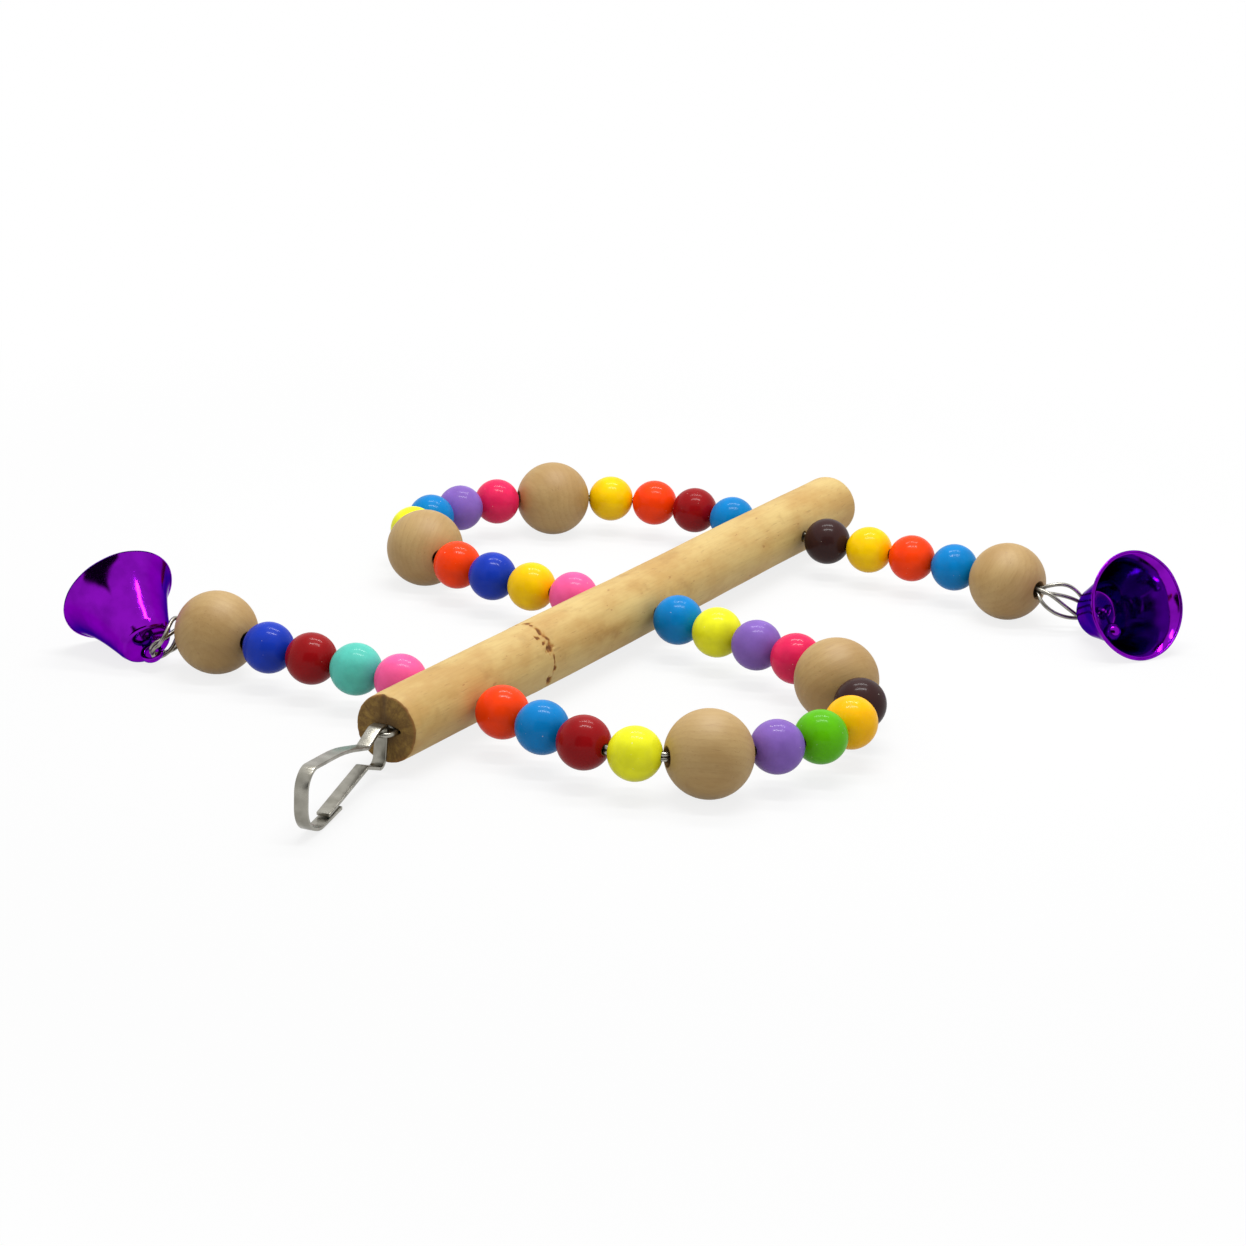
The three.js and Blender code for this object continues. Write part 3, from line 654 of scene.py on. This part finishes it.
start.surface(
    Base_Color=haze.mix(tone("a09d93"), tone("827f75")),
    Metallic=1.0,
    Roughness=0.25 + haze * 0.06 + scuff * 0.03,
    Normal=(scuff * 0.06 + spot.noise(0.004, detail=1.0) * 4).bump(0.000008),
)
place_piece("screw_eye_and_shank", make_mesh("screw_eye_and_shank", [
    (eye_ring, False), (shank, False)]), nickel, "nickel_plated_steel", "perch", "screw_eye")


# Snap hook: one strip of nickel-plated spring steel, 3 by 0.8 mm, bent on edge-free rolls into a
# loop through the eye, a long back, a round nose and a short lip that the gate shuts against.
strip_width, strip_thick = 3.0, 0.8
neck, fold = (7.8, -0.3), (7.8, -4.7)
curl = (-1.4, -8.0)
gate_tip, lip_start, lip_end = (27.6, -8.7), 31.8, 21.0
lip_gap, lip_slope = 0.3, 0.1
split_at, split_half = 3.0, 0.06  # where the gate is parted from the strip, along the curl
curl_way = np.subtract(fold, curl) / np.linalg.norm(np.subtract(fold, curl))


def on_curl(distance):
    """Point of the strip's line this far up from the corner of the curl."""
    return (*(np.array(curl) + curl_way * distance), 0)


def on_lip(x):
    """Point of the lip's line, which slopes away under the tip of the gate."""
    return (x, gate_tip[1] - strip_thick - lip_gap - (x - gate_tip[0]) * lip_slope)


def bent(corners, chords=14):
    """Line through corners (x, y, bend radius): straights joined by arcs tangent to both."""
    corners = np.array(corners, float)
    here, radius = corners[1:-1, :2], corners[1:-1, 2:]
    back, on = corners[:-2, :2] - here, corners[2:, :2] - here
    back, on = unit_rows(back), unit_rows(on)
    half = np.arccos((back * on).sum(1, keepdims=True)) / 2
    centre = here + unit_rows(back + on) * radius / np.sin(half)
    first = here + back * radius / np.tan(half) - centre
    last = here + on * radius / np.tan(half) - centre
    turn = np.arctan2(first[:, 0] * last[:, 1] - first[:, 1] * last[:, 0],
                      (first * last).sum(1))[:, None] * np.linspace(0, 1, chords + 1)
    arcs = centre[:, None] + np.stack([
        first[:, :1] * np.cos(turn) - first[:, 1:] * np.sin(turn),
        first[:, :1] * np.sin(turn) + first[:, 1:] * np.cos(turn)], -1)
    return stack([corners[0, :2], arcs.reshape(-1, 2), corners[-1, :2]])


def strip(line, origin, along, up, width, thick, rounding=0.16):
    """Flat strip carried along a line of the (along, up) plane: a rounded oblong section that
    stands square to the line, drawn in by the rounding and closed at both ends."""
    run = unit_rows(line[[0, -1]] - line[[1, -2]])
    ends = np.array([0.001, 0, -rounding])[:, None]
    line = np.concatenate([line[0] + ends * run[0], line[1:-1], line[-1] + ends[::-1] * run[1]])
    inset = np.zeros(len(line))
    inset[[1, -2]] = rounding
    inset[[0, -1]] = max(width, thick)
    tangent = unit_rows(np.gradient(line, axis=0))
    normal = np.stack([-tangent[:, 1], tangent[:, 0]], -1)
    quarter = np.radians(np.linspace(0, 90, 5))
    corner = np.stack([np.cos(quarter), np.sin(quarter)], -1) * rounding
    half = np.array([width / 2, thick / 2]) - rounding
    section = stack([
        half + corner,
        half * (-1, 1) + corner[::-1] * (-1, 1),
        -half - corner,
        half * (1, -1) + corner[::-1] * (1, -1),
    ])
    limit = np.maximum(np.array([width / 2, thick / 2]) - inset[:, None], 0)[:, None]
    section = np.clip(section, -limit, limit)
    plane = line[:, None] + section[..., 1:] * normal[:, None]
    return (origin + plane[..., :1] * along + plane[..., 1:] * up
            + section[..., :1] * np.cross(along, up))


gate_pin, _ = joint_place("snap_hook_gate_open")
pin_local = np.array(on_curl(split_at)[:2]) + strip_thick / 2 * np.array(
    [-curl_way[1], curl_way[0]])
arm = gate_pin - hook_pin
hook_tilt = math.atan2(arm[2], arm @ hook_ahead) - math.atan2(pin_local[1], pin_local[0])
hook_along = math.cos(hook_tilt) * hook_ahead + math.sin(hook_tilt) * vertical
hook_up = math.cos(hook_tilt) * vertical - math.sin(hook_tilt) * hook_ahead
hook_line = bent([
    on_curl(split_at - split_half),
    (*curl, 2.2),
    (-2.3, 1.9, 1.8),
    (1.8, 1.9, 3.0),
    (*neck, 0.9),
    (20.0, 2.9, 60.0),
    (38.6, 4.5, 4.2),
    (38.3, -7.6, 6.4),
    (*on_lip(lip_start), 8.0),
    (*on_lip(lip_end), 0),
])
place_piece("snap_hook", make_mesh("snap_hook", [
    (strip(hook_line, hook_pin, hook_along, hook_up, strip_width, strip_thick), False)]),
    nickel, "nickel_plated_steel", "snap_hook", "snap_hook_body")


# Gate of the snap hook: the other end of the same strip, which springs in from the curl and
# comes back against the lip.
gate_line = bent([on_curl(split_at + split_half), (*fold, 0.9), (*gate_tip, 0)])
place_piece("snap_hook_gate_arm", make_mesh("snap_hook_gate_arm", [
    (strip(gate_line, hook_pin, hook_along, hook_up, strip_width, strip_thick), False)]),
    nickel, "nickel_plated_steel", "snap_hook_gate", "snap_hook_gate")


# Wire: bright drawn steel, 1 mm thick and doubled. Each strand runs one above the other through
# every bead and the perch, turns round a bell's lug at both ends and is tucked into its last bead.
strand_pitch, leg_pitch, wire_radius, bend_radius = 1.12, 1.5, 0.5, 2.0
plain_half, plain_bore, mouth_gap = 9.7, 2.1, 0.3  # the last bead's half width, bore and gap
corner_ease, leg_lift = 1.4, 3.5  # start of a corner's bend, and how far the outer legs bow out


def unit(vector):
    """The direction of a vector."""
    return vector / np.linalg.norm(vector)


def bell_place(side, last):
    """Where a bell hangs: the mouth of its last bead's bore and the way out of it, the middle of
    the lug, the bell's axis, the lug's hole and the direction from the lug to the bead."""
    middle, out = joint_place(last[:7] + "_spin")
    lug, hole = joint_place(side + "_bell_swing")
    bar, hinge = joint_place(side + "_clapper_swing")
    axis = unit(bar - lug)
    mouth = middle + out * (math.sqrt(plain_half**2 - plain_bore**2) + mouth_gap)
    to_bead = mouth - lug
    to_bead = unit(to_bead - axis * (to_bead @ axis))
    return {"middle": middle, "out": out, "mouth": mouth, "lug": lug, "axis": axis,
            "hole": hole, "to_bead": to_bead, "bar": bar, "hinge": hinge}


def wire_end(place, level, inside):
    """Line of one strand from inside the last bead, out to the bell's lug, round it and back in
    again. The two legs are cubic curves and the turn is a half circle."""
    mouth, out, lug, to_bead = (place[key] for key in ("mouth", "out", "lug", "to_bead"))
    across = np.cross(vertical, out)
    spread = place["hole"] * np.sign(place["hole"][2])
    level_up = vertical * level * strand_pitch / 2
    centre = lug + place["axis"] * inside * level * strand_pitch / 2 + to_bead * bend_radius

    out_pull, cross_pull, end_pull, lift_share = 0.28, 1.2, 0.5, 0.8
    inner_from_middle, tuck_depths = np.array([[2.0], [5.0]]), np.array([[2.0], [4.0], [6.3]])

    def bend_at(angle):
        return centre + bend_radius * (np.sin(angle) * spread - np.cos(angle) * to_bead)

    def leg(side):
        begin = mouth + across * side * leg_pitch / 2 + level_up
        finish = bend_at(side * np.pi / 2)
        lift = level * leg_lift if side == level else 0
        run = np.linalg.norm(finish - begin)
        pull = begin + out * (run * out_pull + level * cross_pull) + spread * lift * lift_share
        reach = finish + to_bead * run * end_pull + spread * lift
        t = np.linspace(0, 1, 30)[:, None]
        return ((1 - t) ** 3 * begin + 3 * t * (1 - t) ** 2 * pull
                + 3 * t**2 * (1 - t) * reach + t**3 * finish)

    turn = np.radians(np.linspace(-90, 90, 17)[1:-1])[:, None]
    inner = place["middle"] + level_up - across * leg_pitch / 2
    tuck = mouth + across * leg_pitch / 2 + level_up - out * tuck_depths
    return stack([
        inner + out * inner_from_middle, leg(-1), bend_at(turn), leg(1)[::-1], tuck])


# The rods of wire in order: the beads before the first hole have joints that point back
rods = [bead_rod(name) for name in string]
first_few = beads_before_holes[0]
rods[:first_few] = [(middle, -way, half) for middle, way, half in rods[:first_few]]
for count, hole in reversed(list(zip(beads_before_holes, holes))):
    rods.insert(count, hole)
turn_at = np.array([corner_after(*rods[i], *rods[i + 1][1:]) for i in range(len(rods) - 1)])
way_in, way_out = (np.array([way for middle, way, half in part])[:, None]
                   for part in (rods[:-1], rods[1:]))
t = np.linspace(0, 1, 8)[:, None]
turn_at = turn_at[:, None]
string_line = ((1 - t) ** 2 * (turn_at - corner_ease * way_in) + 2 * t * (1 - t) * turn_at
               + t**2 * (turn_at + corner_ease * way_out)).reshape(-1, 3)
bells = {"left": bell_place("left", string[0]), "right": bell_place("right", string[-1])}
poles = {side: unit(place["axis"] + vertical) for side, place in bells.items()}
steel, start = new_material("drawn_steel")
spot = start.place()
cloud = spot.noise(0.002, detail=4.0).between(0.3, 0.7)
draw_line = spot.noise(0.00018, (8, 8, 1), 2.0, 0.6)
start.surface(
    Base_Color=cloud.mix(tone("a9a69c"), tone("87847b")),
    Metallic=1.0,
    Roughness=0.24 + cloud * 0.1 + draw_line.between(0.5, 0.8) * 0.1,
    Normal=(draw_line + cloud).bump(0.000005),
)
for name, level in (("wire_upper", 1), ("wire_lower", -1)):
    line = stack([
        wire_end(bells["left"], level, -1)[::-1],
        string_line + vertical * level * strand_pitch / 2,
        wire_end(bells["right"], level, 1),
    ])
    line, size = with_ends(line, wire_radius)
    share = np.linspace(0, 1, len(line))[:, None]
    pole = (1 - share) * poles["left"] + share * poles["right"]
    place_piece(name, make_mesh(name, [(tube(line, pole, size), False)], sharp=60),
                steel, "bright_steel_wire", "perch", name + "_strand")


# Painted beads: turned wooden balls 12 mm across with a bore through the middle, dipped in
# glossy opaque paint. The bare wood shows only inside the bore.
painted_radius, painted_bore, painted_ease, bead_columns = 6.0, 1.2, 0.12, 64
paints = {
    "darkBlue": "1537b2", "darkRed": "94090f", "teal": "5ac7b6", "pink": "ff5e9e",
    "orange": "ff4006", "blue": "027ec6", "lemon": "eeee24", "purple": "8461b8",
    "green": "5cba02", "amber": "ffba00", "brown": "361f1e", "crimson": "e52459",
    "yellow": "ffcb00",
}


def ball(radius, bore, rounding):
    """Outline (radius, station) of a ball with a bore along its axis and eased mouths, and for
    each point 1 if it is inside the bore."""
    bore_rows = 9
    mouth = math.degrees(math.acos((bore + rounding) / radius))
    outside = arc((0, 0), radius, -mouth, mouth, 44)
    end = radius * math.sin(math.radians(mouth))
    ease = arc((bore + rounding, end - rounding), rounding, 75, 180, 6)
    wall = np.stack([np.full(bore_rows, bore),
                     np.linspace(end - rounding, rounding - end, bore_rows + 2)[1:-1]], -1)
    profile = stack([outside, ease, wall, (ease * (1, -1))[::-1]])
    bare = np.concatenate([np.zeros(len(outside) + 1), np.full(len(profile) - len(outside) - 2, 1),
                           [0.0]])
    return profile, bare


def bead_mesh(name, radius, bore, rounding, seed):
    """A bead in its place, with its grain attribute: the place of each point in the block of
    wood it was turned from, in metres, with the fibres along y."""
    middle, way = joint_place(name[:7] + "_spin")
    profile, bare = ball(radius, bore, rounding)
    grid = turned(profile, middle, way, vertical, bead_columns)
    outward = (grid - middle) / radius
    uneven = 0.0016
    grid = grid + outward * (ripples(outward, 1.6, seed) * uneven * radius)[..., None]
    draw = np.random.default_rng(seed)
    block, _ = np.linalg.qr(draw.normal(size=(3, 3)))
    heart_spread, from_heart = (6, 30, 6), 4
    heart = draw.uniform(-1, 1, 3) * heart_spread + (radius + from_heart, 0, radius)
    grain = ((grid - middle) @ block + heart) * mm
    return make_mesh(name, [(grid, True)], [
        ("grain", grain.reshape(-1, 3)), ("bare", np.repeat(bare, bead_columns))], sharp=60)


def paint_of(name, code):
    """Paint over wood: an opaque film with a thin gloss and the slow waves of a dipped coat, a
    little uneven in colour and specked, and bare wood inside the bore."""
    made, start = new_material(name)
    block = start.mark("grain", "Vector")
    bare = start.mark("bare")
    film = np.array(tone(code))
    gloss = 0.18
    thin, thick = ((film * (k, k, k, 1)).clip(0, 1).tolist() for k in (1.06, 0.90))
    cloud = block.noise(0.004, detail=3.0).between(0.3, 0.7)
    speck = block.noise(0.0007, detail=1.0).between(0.77, 0.81)
    colour = (speck * 0.35).mix(cloud.mix(thin, thick), tone("f4ead8"))
    raw = block.noise(0.0006, (1, 12, 1)).mix(tone("c49a66"), tone("8f6a3f"))
    start.surface(
        Base_Color=bare.mix(colour, raw),
        Roughness=0.36 + cloud * 0.06 + bare * 0.4,
        Specular_IOR_Level=0.04,
        Coat_Weight=gloss - bare * gloss,
        Coat_Roughness=0.14,
        Normal=block.noise(0.004, detail=0.0).bump(0.000008),
    )
    return made


paint_finish = {name: paint_of("paint_" + name, code) for name, code in paints.items()}
for number, name in enumerate(string):
    paint = name.split("_", 2)[2]
    if paint in paints:
        slot = "paint_" + "".join("_" + c.lower() if c.isupper() else c for c in paint)
        piece = name[:8] + "painted_" + slot[6:]
        mesh = bead_mesh(piece, painted_radius, painted_bore, painted_ease, number)
        place_piece(piece, mesh, paint_finish[paint], slot, name, name)


# Plain beads: six larger balls, 19.5 mm across, turned from the same pale wood and left bare
# with a satin rub. The grain of each lies its own way, with end grain on two opposite sides.
plain_radius, plain_ease, first_seed = 9.77, 0.3, 100
bead_wood, start = new_material("plain_bead_wood")
block = start.mark("grain", "Vector")
bare = start.mark("bare")
colour, relief = wood(block, tone("b79760"), tone("a9864f"), tone("8b6431"), 0.0016, 0.16)
# Inside the bore the wood is painted darker, as painted shade in the hole, and is rougher.
start.surface(
    Base_Color=(bare * 0.75).mix(colour, tone("7a5733")),
    Roughness=0.5 + relief * 0.12 + bare * 0.2,
    Normal=(relief + block.noise(0.0009) * 0.5).bump(0.00004),
)
for number, name in enumerate(string):
    if "plain" in name:
        mesh = bead_mesh(name[:8] + "plain", plain_radius, plain_bore, plain_ease,
                         first_seed + number)
        place_piece(mesh.name, mesh, bead_wood, "plain_bead_wood", name, name)


# Bells: thin cones of pressed metal with a flat crown and a turned-out, rolled lip, vacuum-coated
# bright and lacquered purple inside and out. Each hangs from a lug through the crown.
crown_at, bell_mouth, bell_crown, bell_height, bell_wall = 3.0, 13.7, 6.1, 18.0, 0.6
bell_flare, bell_hollow, bell_columns = 1.1, 0.4, 128
dent_depth, dent_length, dents_from, dents_rise = 0.005, 9, 5, 6
crown_flat, crown_round, inside_round, inside_from = 3.2, 0.9, 0.5, 1.1
neck_half, plate, crown_gap = 0.9, 0.9, 0.3  # the hanger's neck, and the room round it
crown_hole = math.hypot(neck_half, plate / 2) + crown_gap
cone = math.atan2(bell_mouth - bell_flare - bell_crown, bell_height)


def outer_at(station):
    """Outside radius of a bell: a cone, a little hollow half way down, whose lip turns out."""
    share = station / bell_height
    hollow = bell_hollow * np.sin(np.pi * share)
    return bell_crown + math.tan(cone) * station + bell_flare * share**7 - hollow


def inner_at(station):
    """Inside radius: a straight cone whose lip turns out in the last fifth."""
    flare = bell_flare * (station / bell_height) ** 12
    return bell_crown + math.tan(cone) * station + flare - bell_wall / math.cos(cone)


purple, start = new_material("purple_lacquered_metal")
spot = start.place()
cloud = spot.noise(0.006, detail=3.0).between(0.3, 0.7)
dust = spot.noise(0.0003, detail=2.0).between(0.62, 0.75)
start.surface(
    Base_Color=cloud.mix(tone("8610b8"), tone("700a9e")),
    Metallic=1.0,
    Specular_Tint=tone("7a2cb4"),
    Roughness=0.08 + cloud * 0.05 + dust * 0.12,
    Normal=(spot.noise(0.006, detail=1.0) + dust * 0.02).bump(0.00014),
)
low_wall = np.linspace(0.09, 0.985, 44)[:, None] * bell_height
rim = bell_wall / 2
bell_profile = stack([
    (crown_hole, 0),
    (crown_flat, 0),
    arc((bell_crown - crown_round, crown_round), crown_round, -90, -16, 8),
    np.hstack([outer_at(low_wall), low_wall]),
    arc((bell_mouth - rim, bell_height - rim), rim, 0, 180, 10),
    np.hstack([inner_at(low_wall), low_wall])[::-1],
    arc((inner_at(inside_from) - inside_round, inside_from), inside_round, 0, -90, 5),
    (crown_flat, bell_wall),
    (crown_hole, bell_wall),
])
for side, place in bells.items():
    grid = turned(bell_profile, place["lug"] + crown_at * place["axis"], place["axis"],
                  place["hole"], bell_columns)
    from_axis = grid - place["lug"]
    from_axis -= (from_axis @ place["axis"])[..., None] * place["axis"]
    strength = np.clip((bell_profile[:, :1] - dents_from) / dents_rise, 0, 1)
    dents = dent_depth * ripples(grid, dent_length, len(side)) * strength
    grid = grid + from_axis * dents[..., None]
    place_piece(side + "_bell_shell", make_mesh(side + "_bell_shell", [(grid, True)], sharp=50),
                purple, "purple_metal", side + "_bell", side + "_bell")


# Hangers: a flat figure of eight of the same coated metal, whose neck goes through the bell's
# crown. The wire runs through the lug outside, and the clapper hangs on the eye inside.
lug_hole, lug_outer, eye_hole, eye_outer = 1.6, 2.7, 1.1, 1.9
past_lug_hole, before_eye_hole, neck_middle = 0.5, 0.3, 3.3  # where the neck begins and ends
inner_eye_at = crown_at + bell_wall + crown_gap + eye_outer


def washer(middle, axis, side, inner, outer, thick, rounding=0.2):
    """Flat ring with rounded edges, turned about its axis."""
    low, high = inner + rounding, outer - rounding
    top = thick / 2 - rounding
    profile = stack([
        arc((high, top), rounding, 0, 90, 4), arc((low, top), rounding, 90, 180, 4),
        arc((low, -top), rounding, 180, 270, 4), arc((high, -top), rounding, 270, 360, 4),
    ])
    return turned(profile, middle, axis, side, 56)


for side, place in bells.items():
    lug, axis, hole = place["lug"], place["axis"], place["hole"]
    beside = np.cross(axis, hole)
    neck_line = np.array([
        [lug_hole + past_lug_hole, 0],
        [neck_middle, 0],
        [inner_eye_at - eye_hole - before_eye_hole, 0],
    ])
    name = side + "_bell_lug_and_eye"
    place_piece(name, make_mesh(name, [
        (washer(lug, hole, axis, lug_hole, lug_outer, plate), True),
        (washer(lug + inner_eye_at * axis, hole, axis, eye_hole, eye_outer, plate), True),
        (strip(neck_line, lug, axis, beside, plate, 2 * neck_half, 0.2), False),
    ]), purple, "purple_metal", side + "_bell", side + "_bell_hanger")


# Clappers: a ring and stem of coated wire with a turned ball on its end, hung on the outer bar
# of the hanger's inside eye. At rest the ball lies against the low side of the bell.
clapper_wire, clapper_ring, clapper_ball, clapper_reach = 0.4, 1.8, 2.2, 9.5
stem_middle, stem_length, stem_in_ring, groove = 3, 6.4, 0.2, 0.07
clear, bell_sides = 0.3, 24  # the ball's gap to the wall, and the sides of the solid's wall
ring_columns, stem_columns = 48, 20
bar_half = math.hypot(eye_outer - eye_hole, plate) / 2
ring_from_bar = clapper_ring - bar_half - clear - clapper_wire
bar_at = inner_eye_at + eye_hole + (eye_outer - eye_hole) / 2
drops = np.linspace(0, np.pi / 2, 2000)
wall_at = inner_at(bar_at - crown_at + clapper_reach * np.cos(drops))
wall_at = wall_at * math.cos(math.pi / bell_sides)
room = (wall_at - clapper_reach * np.sin(drops)) * math.cos(cone)
drop = drops[np.argmax(room < clapper_ball + clear)]
for side, place in bells.items():
    low = np.cross(place["axis"], place["hinge"])
    hang = math.cos(drop) * place["axis"] + math.sin(drop) * low
    bar, hinge = place["bar"], place["hinge"]
    section = arc((clapper_ring, 0), clapper_wire, 0, 360, 14)[:-1]
    stem = stack([
        (0, 0), (clapper_wire, 0), (clapper_wire, stem_middle), (clapper_wire, stem_length),
        (0, stem_length)]) + (0, ring_from_bar + clapper_ring - stem_in_ring)
    head = stack([
        (0, -clapper_ball), arc((0, 0), clapper_ball, -84, -4, 18),
        (clapper_ball - groove, 0), arc((0, 0), clapper_ball, 4, 84, 18), (0, clapper_ball),
    ]) + (0, clapper_reach)
    name = side + "_clapper_ball_and_ring"
    place_piece(name, make_mesh(name, [
        (turned(section, bar + ring_from_bar * hang, hinge, hang, ring_columns), True),
        (turned(stem, bar, hang, hinge, stem_columns), False),
        (turned(head, bar, hang, hinge, ring_columns), False),
    ]), purple, "purple_metal", side + "_clapper", side + "_bell_clapper")

low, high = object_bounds()
